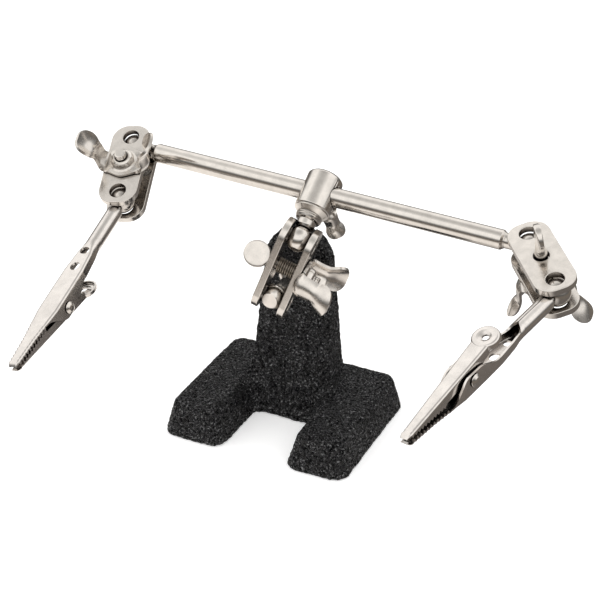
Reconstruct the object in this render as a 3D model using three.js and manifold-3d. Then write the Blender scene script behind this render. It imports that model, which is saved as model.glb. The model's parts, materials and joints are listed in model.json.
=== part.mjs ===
// Helping hands soldering clamp: a cast base with an upright, a two-plate ball clamp on it that holds
// a cross rod through a T-shaped holder, and an alligator clip on a ball clamp at each end of the rod.
// Millimetres, +Z up. The origin is the middle of the base's underside, +X runs along the cross rod
// and the open side of the base faces -Y.
import * as THREE from 'three';
import { mergeVertices } from 'three/addons/utils/BufferGeometryUtils.js';
import Module from 'manifold-3d';

const wasm = await Module();
wasm.setup();

// ---------------------------------------------------------------- driving dimensions
const GAP = 0.3; // left between pieces that rest on each other
const BASE = {
  width: 60.0,
  depth: 47.8,
  height: 10.7,
  draft: 2.0,
  edgeRound: 2.2,
  cornerRadius: 5.0,
  notchHalfWidth: 10.2,
  notchDraft: 2.3,
  notchBack: -1.0,
  notchRadius: 2.5,
};
const UPRIGHT = {
  x: 0.5, // the upright and the notch stand a little off the middle of the base
  footHalfWidth: 13.2,
  topRadius: 10.2,
  topCentreZ: 50.3,
  backY: 12,
  frontY: 3.8,
  topFrontY: 7.2,
  rampRise: 13,
  flare: 4.5,
};
const ROD_RADIUS = 2.8;
const BALL_RADIUS = 3.7;
const SPIGOT_RADIUS = 1.5; // end of a neck, inside its ball
const NECK_RADIUS = 2.1;
const PLATE = { length: 28, width: 11.6, thickness: 2, cornerRadius: 4.8, ballHole: 2.45, boltHole: 2.1 };
const BALL_SPACING = 19.5; // between the two balls of one clamp
const PLATE_GAP = 6.1; // between the two plates of one clamp
const BOLT = { radius: 1.7, paddleRadius: 3.9, paddleThickness: 1.7, tail: 10.2 };
const NUT = {
  thickness: 0.9,
  halfLength: 5.6,
  halfWidth: 4.8,
  collarRadius: 3.1,
  collarHeight: 3.1,
  bore: 1.95,
};
const WING = {
  flare: THREE.MathUtils.degToRad(55),
  root: 0.8,
  neckLength: 5.0,
  neckHalfWidth: 1.25,
  cupRadius: 3.8,
};
const BARREL = { radius: 5.25, top: 5.8, bottom: -6.6, stepRadius: 3.9, stemLength: 15.0 };
const WING_SCREW = { turn: THREE.MathUtils.degToRad(48), scale: 0.75 };
const ROD_BALL_REACH = 62; // from the middle of the rod to the centre of an end ball
const ROD_OFFSET = 0.85; // the rod's middle is this far past its holder
const CLIP = {
  tubeStart: 4.6,
  tubeEnd: 19.5,
  tubeRadius: 2.25,
  sheet: 0.7,
  length: 64.4,
  halfWidth: 3.5,
  webY: -1.7,
  pivotY: 1.8,
  pivotZ: 40.2,
  rivetRadius: 1.1,
  padRadius: 3.9,
  padZ: 30.0,
  padY: 7.0,
};

// ---------------------------------------------------------------- where the pieces stand
const STUD_BALL = new THREE.Vector3(UPRIGHT.x + 0.2, -8.6, 46.6);
const STACK_AXIS = new THREE.Vector3(0.317, 0.186, 0.93).normalize();
const STACK_NORMAL = new THREE.Vector3(0.9324, 0.1203, -0.3409);
const HOLDER_AXIS = new THREE.Vector3(0.0388, 0.8, 0.6).normalize();
const ROD_AXIS = new THREE.Vector3(0.9991, -0.0235, -0.0333).normalize();
const LEFT = {
  plateAxis: new THREE.Vector3(-0.243, 0.839, 0.487).normalize(),
  plateNormal: new THREE.Vector3(-0.038, 0.493, -0.869),
  clipAxis: new THREE.Vector3(0.016, -0.927, -0.374),
  clipUp: new THREE.Vector3(0.223, 0.368, -0.903),
};
const RIGHT = {
  plateAxis: new THREE.Vector3(-0.627, 0.756, 0.187).normalize(),
  plateNormal: new THREE.Vector3(0.094, 0.312, -0.945),
  clipAxis: new THREE.Vector3(-0.272, -0.938, -0.214),
  clipUp: new THREE.Vector3(-0.16, -0.176, 0.971),
};

// ---------------------------------------------------------------- geometry helpers
const v2 = (x, y) => new THREE.Vector2(x, y);
const v3 = (x, y, z) => new THREE.Vector3(x, y, z);

/** A closed geometry as a solid, with its faces turned outwards. */
function solid(geometry) {
  const bare = new THREE.BufferGeometry();
  bare.setAttribute('position', geometry.getAttribute('position'));
  bare.setIndex(geometry.getIndex());
  const merged = mergeVertices(bare, 1e-4);
  const position = merged.getAttribute('position');
  const corners = merged.getIndex().array;
  const triangles = [];
  for (let i = 0; i < corners.length; i += 3) {
    const [a, b, c] = corners.slice(i, i + 3);
    if (a !== b && b !== c && c !== a) triangles.push([a, b, c]);
  }
  const at = (i) => new THREE.Vector3().fromBufferAttribute(position, i);
  const volume = triangles.reduce((sum, [a, b, c]) => sum + at(a).dot(at(b).cross(at(c))), 0);
  if (volume < 0) triangles.forEach((t) => t.reverse());
  return new wasm.Manifold(
    new wasm.Mesh({
      numProp: 3,
      vertProperties: Float32Array.from(position.array),
      triVerts: Uint32Array.from(triangles.flat()),
    }),
  );
}

function toGeometry(body) {
  const { vertProperties, triVerts } = body.getMesh();
  const geometry = new THREE.BufferGeometry();
  geometry.setAttribute('position', new THREE.BufferAttribute(vertProperties, 3));
  geometry.setIndex(new THREE.BufferAttribute(triVerts, 1));
  geometry.computeVertexNormals();
  return geometry;
}

const join = (first, ...rest) => rest.reduce((sum, next) => sum.add(next), first);
const cut = (first, ...rest) => rest.reduce((sum, next) => sum.subtract(next), first);

/** Turned body about Z: the profile is a list of [radius, z] that starts and ends on the axis. */
function turned(profile, segments = 20) {
  const lathe = new THREE.LatheGeometry(profile.map(([r, z]) => v2(r, z)), segments);
  return solid(lathe.rotateX(Math.PI / 2));
}

const rod = (radius, from, to, segments = 18) =>
  turned([[0, from], [radius, from], [radius, to], [0, to]], segments);

/** Prism over an outline of Vector2, with optional round holes, laid along one axis. */
function prism(outline, from, to, matrix, holes = []) {
  const shape = new THREE.Shape(outline);
  shape.holes = holes.map(([x, y, r, n = 16]) => new THREE.Path(circle(x, y, r, n)));
  const depth = to - from;
  const geometry = new THREE.ExtrudeGeometry(shape, { depth, bevelEnabled: false, curveSegments: 1 });
  geometry.translate(0, 0, from);
  if (matrix) geometry.applyMatrix4(matrix);
  return solid(geometry);
}

const ALONG_X = new THREE.Matrix4().makeBasis(v3(0, 1, 0), v3(0, 0, 1), v3(1, 0, 0));
const ALONG_Y = new THREE.Matrix4().makeBasis(v3(0, 0, 1), v3(1, 0, 0), v3(0, 1, 0));
const prismX = (outlineYZ, from, to) => prism(outlineYZ, from, to, ALONG_X);
const prismY = (outlineZX, from, to) => prism(outlineZX, from, to, ALONG_Y);
const prismZ = (outlineXY, from, to, holes) => prism(outlineXY, from, to, null, holes);

function circle(x, y, r, n) {
  return Array.from({ length: n }, (_, i) => {
    const angle = (2 * Math.PI * i) / n;
    return v2(x + r * Math.cos(angle), y + r * Math.sin(angle));
  });
}

/** Outline through corners [x, y, radius]; each corner is rounded by an arc of `steps` chords. */
function rounded(corners, steps = 4) {
  return corners.flatMap(([x, y, radius], i) => {
    if (!radius) return [v2(x, y)];
    const corner = v2(x, y);
    const [bx, by] = corners.at(i - 1);
    const [ax, ay] = corners[(i + 1) % corners.length];
    const into = v2(x - bx, y - by).normalize();
    const out = v2(ax - x, ay - y).normalize();
    const side = Math.sign(into.cross(out));
    const turn = Math.acos(THREE.MathUtils.clamp(into.dot(out), -1, 1));
    const start = corner.clone().addScaledVector(into, -radius * Math.tan(turn / 2));
    const centre = start.clone().add(v2(-into.y, into.x).multiplyScalar(side * radius));
    return Array.from({ length: steps + 1 }, (_, k) =>
      start.clone().rotateAround(centre, (side * turn * k) / steps),
    );
  });
}

/** Closed solid through a stack of level rings; every ring has the same number of points. */
function loft(levels) {
  const count = levels[0].ring.length;
  const position = levels.flatMap(({ ring, z }) => ring.flatMap((p) => [p.x, p.y, z]));
  const index = [];
  for (let level = 0; level + 1 < levels.length; level += 1) {
    for (let i = 0; i < count; i += 1) {
      const a = level * count + i;
      const b = level * count + ((i + 1) % count);
      index.push(a, b, b + count, a, b + count, a + count);
    }
  }
  const last = (levels.length - 1) * count;
  const bottom = THREE.ShapeUtils.triangulateShape(levels[0].ring, []);
  const top = THREE.ShapeUtils.triangulateShape(levels.at(-1).ring, []);
  bottom.forEach(([a, b, c]) => index.push(c, b, a));
  top.forEach(([a, b, c]) => index.push(last + a, last + b, last + c));
  const geometry = new THREE.BufferGeometry();
  geometry.setAttribute('position', new THREE.Float32BufferAttribute(position, 3));
  geometry.setIndex(index);
  return solid(geometry);
}

class Helix extends THREE.Curve {
  constructor(radius, turns, from, to) {
    super();
    Object.assign(this, { radius, turns, from, to });
  }

  getPoint(t, target = new THREE.Vector3()) {
    const angle = 2 * Math.PI * this.turns * t;
    const z = THREE.MathUtils.lerp(this.from, this.to, t);
    return target.set(this.radius * Math.cos(angle), this.radius * Math.sin(angle), z);
  }
}

/** Round wire of the given radius along a curve. */
function wire(curve, radius, steps, sides = 5) {
  const section = new THREE.Shape(circle(0, 0, radius, sides));
  return new THREE.ExtrudeGeometry(section, { steps, extrudePath: curve, bevelEnabled: false });
}

const nickel = (shade = 0.82, roughness = 0.25) =>
  new THREE.MeshStandardMaterial({
    color: new THREE.Color(shade, shade * 0.985, shade * 0.96),
    metalness: 1,
    roughness,
  });
const blackCasting = () =>
  new THREE.MeshStandardMaterial({ color: 0x232325, metalness: 0.1, roughness: 0.75 });

function piece(name, body, material = nickel()) {
  const geometry = body.isBufferGeometry ? toGeometry(solid(body)) : toGeometry(body);
  const mesh = new THREE.Mesh(geometry, material);
  mesh.name = name;
  return mesh;
}

/** Group with its origin at a point, its Z along one direction and its Y as near as can be to another. */
function frame(origin, zAxis, yHint, children) {
  const z = zAxis.clone().normalize();
  const x = new THREE.Vector3().crossVectors(yHint, z).normalize();
  const y = new THREE.Vector3().crossVectors(z, x);
  const group = new THREE.Group();
  group.quaternion.setFromRotationMatrix(new THREE.Matrix4().makeBasis(x, y, z));
  group.position.copy(origin);
  group.add(...children);
  return group;
}

// ---------------------------------------------------------------- base
/** Plan of the base: a U, open towards -Y, pulled in by its draft. */
function basePlan(inset, notchInset) {
  const x = BASE.width / 2 - inset;
  const front = -BASE.depth / 2 + inset;
  const back = BASE.depth / 2 - inset;
  const notchLeft = UPRIGHT.x - BASE.notchHalfWidth - notchInset;
  const notchRight = UPRIGHT.x + BASE.notchHalfWidth + notchInset;
  const notchY = BASE.notchBack + notchInset;
  const outer = BASE.cornerRadius - inset / 2;
  const inner = BASE.notchRadius + notchInset;
  return rounded([
    [-x, front, outer],
    [notchLeft, front, outer - 1],
    [notchLeft, notchY, inner],
    [notchRight, notchY, inner],
    [notchRight, front, outer - 1],
    [x, front, outer],
    [x, back, outer],
    [-x, back, outer],
  ]);
}

function baseFeet() {
  const { height, draft, notchDraft, edgeRound } = BASE;
  const levels = [{ ring: basePlan(0, 0), z: 0 }];
  const roundSteps = 3;
  for (let k = 0; k <= roundSteps; k += 1) {
    const angle = (k / roundSteps) * (Math.PI / 2) * 0.9;
    const z = height - edgeRound + edgeRound * Math.sin(angle);
    const tuck = edgeRound * (1 - Math.cos(angle));
    levels.push({ ring: basePlan(draft + tuck, notchDraft + tuck), z });
  }
  return loft(levels);
}

/** Upright: its front view and its side view, each laid through the other. */
function upright() {
  const { footHalfWidth, topRadius, topCentreZ, backY, frontY, topFrontY, rampRise, flare } = UPRIGHT;
  const foot = BASE.height - BASE.edgeRound;
  const top = topCentreZ + topRadius;
  const front = [v2(-footHalfWidth - flare, foot)];
  const arcSteps = 12;
  front.push(v2(footHalfWidth + flare, foot), v2(footHalfWidth + flare * 0.3, foot + flare * 0.55));
  front.push(v2(footHalfWidth - 0.2, foot + flare * 1.5));
  for (let k = 0; k <= arcSteps; k += 1) {
    const angle = (Math.PI * k) / arcSteps;
    front.push(v2(topRadius * Math.cos(angle), topCentreZ + topRadius * Math.sin(angle)));
  }
  front.push(v2(-footHalfWidth + 0.2, foot + flare * 1.5));
  front.push(v2(-footHalfWidth - flare * 0.3, foot + flare * 0.55));
  const side = rounded([
    [backY + 0.6, foot, 0],
    [backY, top, 1.5],
    [topFrontY, top, 1.5],
    [frontY, foot + rampRise, 14],
    [BASE.notchBack + BASE.notchDraft + 0.4, foot + 0.8, 0],
    [BASE.notchBack + BASE.notchDraft + 0.8, foot, 0],
  ]);
  const frontView = new THREE.Matrix4().makeBasis(v3(1, 0, 0), v3(0, 0, 1), v3(0, -1, 0));
  const slab = prism(front, -backY - 2, 6, frontView);
  return slab.intersect(prismX(side, -footHalfWidth * 2, footHalfWidth * 2)).translate([UPRIGHT.x, 0, 0]);
}

const STUD_SEAT_Y = 5.0; // spot face on the upright that the stud's collar sits on
const STUD_HOLE_END_Y = 10.6;

function baseCasting() {
  const stud = (radius, from, to) => {
    const hole = new THREE.CylinderGeometry(radius, radius, to - from, 24);
    return solid(hole.translate(STUD_BALL.x, (from + to) / 2, STUD_BALL.z));
  };
  const body = join(baseFeet(), upright());
  return cut(body, stud(5, -5, STUD_SEAT_Y), stud(2.65, STUD_SEAT_Y - 1, STUD_HOLE_END_Y));
}

/** Stud in the upright, with a collar and a neck; the middle of its ball is the origin, +Z leads away. */
function baseStud() {
  const seat = STUD_BALL.y - STUD_SEAT_Y + GAP;
  const end = STUD_BALL.y - STUD_HOLE_END_Y + GAP;
  return turned([
    [0, end],
    [2.2, end],
    [2.5, end + 0.4],
    [2.5, seat],
    [3.9, seat],
    [4.1, seat + 0.3],
    [4.1, seat + 1.9],
    [NECK_RADIUS, seat + 4.2],
    [NECK_RADIUS, -BALL_RADIUS],
    [SPIGOT_RADIUS, -BALL_RADIUS],
    [SPIGOT_RADIUS, -0.7],
    [0, -0.7],
  ]);
}

/** Ball with a socket for its neck's spigot on the -Z side and a small turned flat on the +Z side. */
function ball(flatRadius = 1.3) {
  const socket = SPIGOT_RADIUS + 0.1;
  const start = Math.asin(flatRadius / BALL_RADIUS);
  const end = Math.PI - Math.asin(socket / BALL_RADIUS);
  const steps = 7;
  const profile = [[0, BALL_RADIUS * Math.cos(start)]];
  for (let k = 0; k <= steps; k += 1) {
    const angle = start + ((end - start) * k) / steps;
    profile.push([BALL_RADIUS * Math.sin(angle), BALL_RADIUS * Math.cos(angle)]);
  }
  profile.push([socket, -0.3], [0, -0.3]);
  return turned(profile, 18);
}

// ---------------------------------------------------------------- ball clamp
/** Clamp plate lying in XY, its long side along Y, from z = 0 to its thickness. */
function clampPlate() {
  const { length, width, thickness, cornerRadius, ballHole, boltHole } = PLATE;
  const [x, y] = [width / 2, length / 2];
  const corners = [[-x, -y], [x, -y], [x, y], [-x, y]].map(([a, b]) => [a, b, cornerRadius]);
  const holes = [
    [0, -BALL_SPACING / 2, ballHole],
    [0, 0, boltHole],
    [0, BALL_SPACING / 2, ballHole],
  ];
  return prismZ(rounded(corners, 4), 0, thickness, holes);
}

/** Bolt along Z with a flat round paddle for the fingers at its -Z end, the paddle's flat facing X. */
function paddleBolt(paddleZ) {
  const { radius, paddleRadius, paddleThickness, tail } = BOLT;
  const half = paddleThickness / 2;
  const disc = new THREE.CylinderGeometry(paddleRadius, paddleRadius, paddleThickness, 24);
  disc.rotateZ(Math.PI / 2).translate(0, 0, paddleZ);
  const shoulder = turned(
    [
      [0, paddleZ + 1], [half, paddleZ + 1], [radius, paddleZ + paddleRadius + 0.2],
      [radius, tail], [0, tail],
    ],
    18,
  );
  return join(solid(disc), shoulder);
}

/** Outline of one wing: a neck that opens into a round cup; the wing starts at the origin, along +X. */
function wingOutline() {
  const { neckLength, neckHalfWidth, cupRadius } = WING;
  const open = Math.asin(neckHalfWidth / cupRadius);
  const centre = neckLength + cupRadius * Math.cos(open);
  const steps = 10;
  const cup = Array.from({ length: steps + 1 }, (_, k) => {
    const angle = -Math.PI + open + ((2 * Math.PI - 2 * open) * k) / steps;
    return v2(centre + cupRadius * Math.cos(angle), cupRadius * Math.sin(angle));
  });
  return [v2(-WING.root, neckHalfWidth + 0.5), v2(-WING.root, -neckHalfWidth - 0.5), ...cup];
}

function wing(direction) {
  const { thickness, halfLength } = NUT;
  const blade = new THREE.ExtrudeGeometry(new THREE.Shape(wingOutline()), {
    depth: thickness,
    bevelEnabled: false,
  });
  blade.translate(0, 0, -thickness / 2).rotateY(-WING.flare);
  blade.translate(halfLength - 1, 0, WING.root * Math.sin(WING.flare) + thickness * 0.5);
  if (direction < 0) blade.rotateZ(Math.PI);
  return solid(blade);
}

/**
 * Pressed wing head on z = 0: a diamond-shaped foot, a raised collar and two flared spoon wings along X.
 */
function wingHead() {
  const { thickness, halfLength, halfWidth, collarRadius, collarHeight } = NUT;
  const foot = rounded([
    [-halfLength, 0, 1.6],
    [0, -halfWidth, 2],
    [halfLength, 0, 1.6],
    [0, halfWidth, 2],
  ]);
  const collar = turned([
    [0, 0],
    [collarRadius + 0.3, 0],
    [collarRadius, collarHeight - 0.8],
    [collarRadius - 0.8, collarHeight],
    [0, collarHeight],
  ]);
  return join(prismZ(foot, 0, thickness), collar, wing(1), wing(-1));
}

const wingNut = () => cut(wingHead(), rod(NUT.bore, -1, NUT.collarHeight + 1));

function clampSpring() {
  const end = PLATE_GAP / 2 - 0.3 - 0.28;
  return wire(new Helix(2.35, 6.25, -end, end), 0.28, 56, 4);
}

/**
 * One ball clamp, its middle at the origin: two plates across Z, long along Y, a paddle bolt,
 * a spring round the bolt between the plates and a wing nut. `nutSide` is +1 or -1 along Z.
 */
function clamp(names, nutSide, paddleZ, paddleTurn, wingTurn) {
  const plateZ = PLATE_GAP / 2;
  const low = piece(names.lowPlate, clampPlate());
  low.position.z = -plateZ - PLATE.thickness;
  const high = piece(names.highPlate, clampPlate());
  high.position.z = plateZ;
  const bolt = piece(names.bolt, paddleBolt(-paddleZ), nickel(0.75));
  bolt.rotation.z = paddleTurn;
  const nut = piece(names.nut, wingNut());
  nut.position.z = plateZ + PLATE.thickness + GAP;
  nut.rotation.z = wingTurn;
  const hardware = new THREE.Group();
  hardware.add(bolt, nut);
  if (nutSide < 0) hardware.rotation.y = Math.PI;
  return [low, high, hardware, piece(names.spring, clampSpring(), nickel(0.7, 0.3))];
}

// ---------------------------------------------------------------- cross rod and its holder
/** Holder for the rod: Z leads away from its ball, X is along the rod, the origin is where they cross. */
function rodHolder() {
  const { radius, top, bottom, stepRadius, stemLength } = BARREL;
  const body = turned([
    [0, top],
    [radius - 0.9, top],
    [radius - 0.25, top - 0.3],
    [radius, top - 1],
    [radius, bottom],
    [stepRadius, bottom - 0.9],
    [stepRadius, bottom - 2.2],
    [NECK_RADIUS + 0.3, bottom - 3.1],
    [NECK_RADIUS + 0.3, -stemLength + BALL_RADIUS],
    [SPIGOT_RADIUS, -stemLength + BALL_RADIUS],
    [SPIGOT_RADIUS, -stemLength + 0.7],
    [0, -stemLength + 0.7],
  ]);
  const boreRadius = ROD_RADIUS + 0.2;
  const rodBore = solid(new THREE.CylinderGeometry(boreRadius, boreRadius, 20, 24).rotateZ(Math.PI / 2));
  const screwBore = solid(new THREE.CylinderGeometry(1.95, 1.95, 10, 20).translate(0, 5, 0));
  return cut(body, rodBore, screwBore);
}

/** Wing screw that clamps the rod; its axis is Z, and it points away from the rod. */
function holderScrew() {
  const seat = BARREL.radius + 1.6;
  const shank = rod(BOLT.radius, ROD_RADIUS + 0.35, seat + 1, 18);
  const { scale } = WING_SCREW;
  return join(wingHead().scale([scale, scale, scale]).translate([0, 0, seat]), shank);
}

function crossRod() {
  const shoulder = ROD_BALL_REACH - 7.2;
  const neckEnd = ROD_BALL_REACH - BALL_RADIUS;
  const spigotEnd = ROD_BALL_REACH - 0.7;
  const half = [
    [ROD_RADIUS, shoulder - 0.6],
    [NECK_RADIUS + 0.2, shoulder],
    [NECK_RADIUS, shoulder + 0.4],
    [NECK_RADIUS, neckEnd],
    [SPIGOT_RADIUS, neckEnd],
    [SPIGOT_RADIUS, spigotEnd],
    [0, spigotEnd],
  ];
  const mirrored = half.map(([r, z]) => [r, -z]).reverse();
  return turned([...mirrored, ...half]);
}

// ---------------------------------------------------------------- alligator clip
// Z runs from the clip's ball to its tip, +Y is the side the moving jaw is on, X is along the rivet.

/** Plan outline with the half widths given as [z, halfWidth], mirrored across X. */
const mirroredPlan = (edge) => [
  ...edge.map(([z, w]) => v2(z, -w)),
  ...[...edge].reverse().map(([z, w]) => v2(z, w)),
];

/** Saw edge from one z to another: teeth between yRoot and yTip. */
function teeth(count, from, to, yRoot, yTip) {
  const pitch = (to - from) / count;
  return Array.from({ length: count }, (_, k) => {
    const z = from + pitch * k;
    return [v2(yRoot(z), z + pitch * 0.1), v2(yTip(z + pitch * 0.5), z + pitch * 0.55)];
  }).flat();
}

const TEETH = { count: 8, from: 50, to: CLIP.length - 1.3 };

function ballStem() {
  const start = BALL_RADIUS;
  return turned(
    [
      [0, 0.7], [SPIGOT_RADIUS, 0.7], [SPIGOT_RADIUS, start], [1.6, start],
      [1.6, 16], [1.2, 16.6], [0, 16.6],
    ],
    18,
  );
}

function fixedJaw() {
  const { tubeStart, tubeEnd, tubeRadius, sheet, length, webY, pivotY, pivotZ, rivetRadius } = CLIP;
  const { halfWidth } = CLIP;
  const edge = [
    [17, 2.0],
    [21, 2.5],
    [29, halfWidth - 0.1],
    [44, halfWidth],
    [49.5, 2.9],
    [55, 2.15],
    [length - 1, 1.6],
    [length, 1.1],
  ];
  const rear = edge[0][0];
  const root = () => -1;
  const tip = () => -0.15;
  const side = [
    v2(webY, rear),
    v2(1.0, rear),
    v2(1.1, 32),
    v2(2.6, 35),
    v2(3.6, 37.8),
    v2(3.7, 41.5),
    v2(2.6, 44.5),
    v2(-0.5, 48.5),
    ...teeth(TEETH.count, TEETH.from, TEETH.to, root, tip),
    v2(-0.2, length - 0.9),
    v2(-0.2, length - 0.3),
    v2(webY + 0.5, length),
    v2(webY, length - 0.6),
  ];
  const outer = prismY(mirroredPlan(edge), -3, 8).intersect(prismX(side, -6, 6));
  const innerEdge = edge.map(([z, w]) => [Math.min(z, length - 1.1), w - sheet]);
  innerEdge[0][0] = rear - 1;
  const inner = prismY(mirroredPlan(innerEdge.slice(0, -1)), webY + sheet, 9);
  const channel = cut(outer, inner);
  const tube = rod(tubeRadius, tubeStart, tubeEnd);
  const tubeBore = rod(1.75, tubeStart - 1, tubeEnd + 5);
  const tubeTop = prismZ(circle(0, 0, 9, 8), tubeEnd - 2.4, tubeEnd + 4).intersect(
    prismX([v2(0.9, 0), v2(9, 0), v2(9, 40), v2(0.9, 40)], -9, 9),
  );
  const rivetHole = solid(
    new THREE.CylinderGeometry(rivetRadius + 0.1, rivetRadius + 0.1, 12, 20)
      .rotateZ(Math.PI / 2)
      .translate(0, pivotY, pivotZ),
  );
  const webHole = (z, radius) =>
    solid(new THREE.CylinderGeometry(radius, radius, 4, 16).translate(0, -2.6, z));
  const formed = cut(join(cut(tube, tubeTop), channel), tubeBore);
  return cut(formed, rivetHole, webHole(21.6, 0.9), webHole(27.3, 1.5));
}

/** Height of the moving jaw's back over its length; it falls in a straight line from the pad to the tip. */
const JAW_TIP_Y = 1.0;
const jawSlope = (CLIP.padY - JAW_TIP_Y) / (CLIP.length - CLIP.padZ);
const jawBack = (z) => CLIP.padY - jawSlope * (z - CLIP.padZ);

function movingJaw() {
  const { sheet, length, pivotY, pivotZ, rivetRadius, padRadius, padZ, padY } = CLIP;
  const rear = padZ + 2;
  const edge = [[rear, 2.6], [36, 2.45], [length - 1, 1.5], [length, 1.0]];
  const root = () => 0.55;
  const tip = () => 0.1;
  const under = [
    v2(jawBack(rear) - 1.2, rear),
    v2(jawBack(34) - 1.7, 34),
    v2(1.4, 37),
    v2(0.2, 38.6),
    v2(-0.1, 40.6),
    v2(0.4, 42.6),
    v2(1.7, 45.5),
    v2(1.2, 49),
    ...teeth(TEETH.count, TEETH.from, TEETH.to, root, tip),
    v2(0.1, length - 0.9),
    v2(0.1, length - 0.2),
    v2(0.4, length),
  ];
  const side = [...under, v2(jawBack(length) - 0.25, length), v2(jawBack(length - 0.5), length - 0.5)];
  side.push(v2(jawBack(rear), rear));
  const outer = prismY(mirroredPlan(edge), -6, 14).intersect(prismX(side, -6, 6));
  const innerEdge = [[rear - 3, 2.6 - sheet], [36, 2.45 - sheet], [length - 1.1, 1.5 - sheet]];
  const roof = sheet * Math.hypot(1, jawSlope);
  const innerSide = [
    v2(-5, rear - 3),
    v2(-5, length),
    v2(jawBack(length) - roof, length),
    v2(jawBack(rear - 3) - roof, rear - 3),
  ].reverse();
  const inner = prismY(mirroredPlan(innerEdge), -6, 14).intersect(prismX(innerSide, -6, 6));
  const pitch = Math.atan(jawSlope);
  const pad = (radius, height) =>
    solid(
      new THREE.CylinderGeometry(radius, radius, height, 28)
        .translate(0, -0.25, 0)
        .rotateX(pitch)
        .translate(0, padY, padZ),
    );
  const rivetHole = solid(
    new THREE.CylinderGeometry(rivetRadius + 0.1, rivetRadius + 0.1, 12, 20)
      .rotateZ(Math.PI / 2)
      .translate(0, pivotY, pivotZ),
  );
  return cut(join(cut(outer, inner), pad(padRadius, 0.8)), rivetHole, pad(1.45, 4));
}

function jawRivet() {
  const half = CLIP.halfWidth + GAP;
  const head = 1.8;
  const profile = [
    [0, -half - 0.7],
    [1.1, -half - 0.6],
    [head, -half],
    [CLIP.rivetRadius, -half],
    [CLIP.rivetRadius, half],
    [head, half],
    [1.1, half + 0.6],
    [0, half + 0.7],
  ];
  return turned(profile, 18).rotate([0, 90, 0]);
}

/** Torsion spring round the rivet: three coils and a leg that lies along the fixed jaw's web. */
class JawSpringPath extends THREE.Curve {
  getPoint(t, target = new THREE.Vector3()) {
    const coilShare = 0.8;
    const turns = 3.25;
    const radius = 1.7;
    const width = 2.4;
    const s = Math.min(t / coilShare, 1);
    const angle = 2 * Math.PI * turns * s;
    const leg = Math.max(t - coilShare, 0) / (1 - coilShare);
    return target.set(width * (s - 0.5), -radius * Math.sin(angle), radius * Math.cos(angle) - 4.5 * leg);
  }
}

function jawSpring() {
  return wire(new JawSpringPath(), 0.28, 36, 4);
}

/** Alligator clip with its ball, its own ball at the origin. */
function clip(side) {
  const pivot = [0, CLIP.pivotY, CLIP.pivotZ];
  const clipBall = piece(`${side}_clip_ball`, ball());
  clipBall.rotation.y = Math.PI;
  const rivet = piece(`${side}_jaw_rivet`, jawRivet(), nickel(0.7, 0.3));
  rivet.position.set(...pivot);
  const spring = piece(`${side}_jaw_spring`, jawSpring(), nickel(0.6, 0.3));
  spring.position.set(...pivot);
  return [
    clipBall,
    piece(`${side}_clip_stem`, ballStem()),
    piece(`${side}_fixed_jaw`, fixedJaw()),
    piece(`${side}_moving_jaw`, movingJaw()),
    rivet,
    spring,
  ];
}

// ---------------------------------------------------------------- assembly
const centre = STUD_BALL.clone().addScaledVector(STACK_AXIS, BALL_SPACING / 2);
const upperBall = STUD_BALL.clone().addScaledVector(STACK_AXIS, BALL_SPACING);
const holderCentre = upperBall.clone().addScaledVector(HOLDER_AXIS, BARREL.stemLength);
const rodMiddle = holderCentre.clone().addScaledVector(ROD_AXIS, ROD_OFFSET);

const assembly = new THREE.Group();
assembly.add(piece('base_casting', baseCasting(), blackCasting()));
assembly.add(
  frame(STUD_BALL, v3(0, -1, 0), v3(0, 0, 1), [
    piece('base_stud', baseStud()),
    piece('stud_ball', ball(2.3)),
  ]),
);
assembly.add(
  frame(
    centre,
    STACK_NORMAL,
    STACK_AXIS,
    clamp(
      {
        lowPlate: 'center_plate_left',
        highPlate: 'center_plate_right',
        bolt: 'center_bolt',
        nut: 'center_wing_nut',
        spring: 'center_spring',
      },
      1,
      9.3,
      -0.445,
      0,
    ),
  ),
);

const holderScrewGroup = frame(v3(0, 0, 0), v3(0, 1, 0), v3(0, 0, 1), [
  piece('holder_screw', holderScrew()),
]);
holderScrewGroup.rotateZ(WING_SCREW.turn);
assembly.add(
  frame(holderCentre, HOLDER_AXIS, new THREE.Vector3().crossVectors(HOLDER_AXIS, ROD_AXIS), [
    piece('rod_holder', rodHolder()),
    holderScrewGroup,
  ]),
);
const holderBall = piece('holder_ball', ball());
assembly.add(frame(upperBall, HOLDER_AXIS.clone().negate(), v3(1, 0, 0), [holderBall]));
assembly.add(frame(rodMiddle, ROD_AXIS, v3(0, 0, 1), [piece('cross_rod', crossRod())]));

function arm(side, sign, pose, nutSide, paddleTurn, wingTurn) {
  const rodBall = rodMiddle.clone().addScaledVector(ROD_AXIS, sign * ROD_BALL_REACH);
  const middle = rodBall.clone().addScaledVector(pose.plateAxis, -BALL_SPACING / 2);
  const clipBall = rodBall.clone().addScaledVector(pose.plateAxis, -BALL_SPACING);
  const names = {
    lowPlate: `${side}_plate_front`,
    highPlate: `${side}_plate_back`,
    bolt: `${side}_bolt`,
    nut: `${side}_wing_nut`,
    spring: `${side}_spring`,
  };
  const outward = ROD_AXIS.clone().multiplyScalar(sign);
  assembly.add(frame(rodBall, outward, v3(0, 0, 1), [piece(`${side}_rod_ball`, ball())]));
  assembly.add(
    frame(middle, pose.plateNormal, pose.plateAxis, clamp(names, nutSide, 11, paddleTurn, wingTurn)),
  );
  assembly.add(frame(clipBall, pose.clipAxis, pose.clipUp, clip(side)));
}

arm('left', -1, LEFT, -1, 0, 0.115);
arm('right', 1, RIGHT, 1, 0, 0.593);

export default assembly;
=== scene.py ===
"""Helping hands clamp: the visible pieces, their materials, the light and the camera.

Every piece is drawn in its own millimetres and then placed by a frame that is worked out from the
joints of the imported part, so nothing here moves or resizes the CAD.
"""

import json
import math

import bmesh
import bpy
import numpy as np
from mathutils import Matrix, Vector, noise

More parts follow.
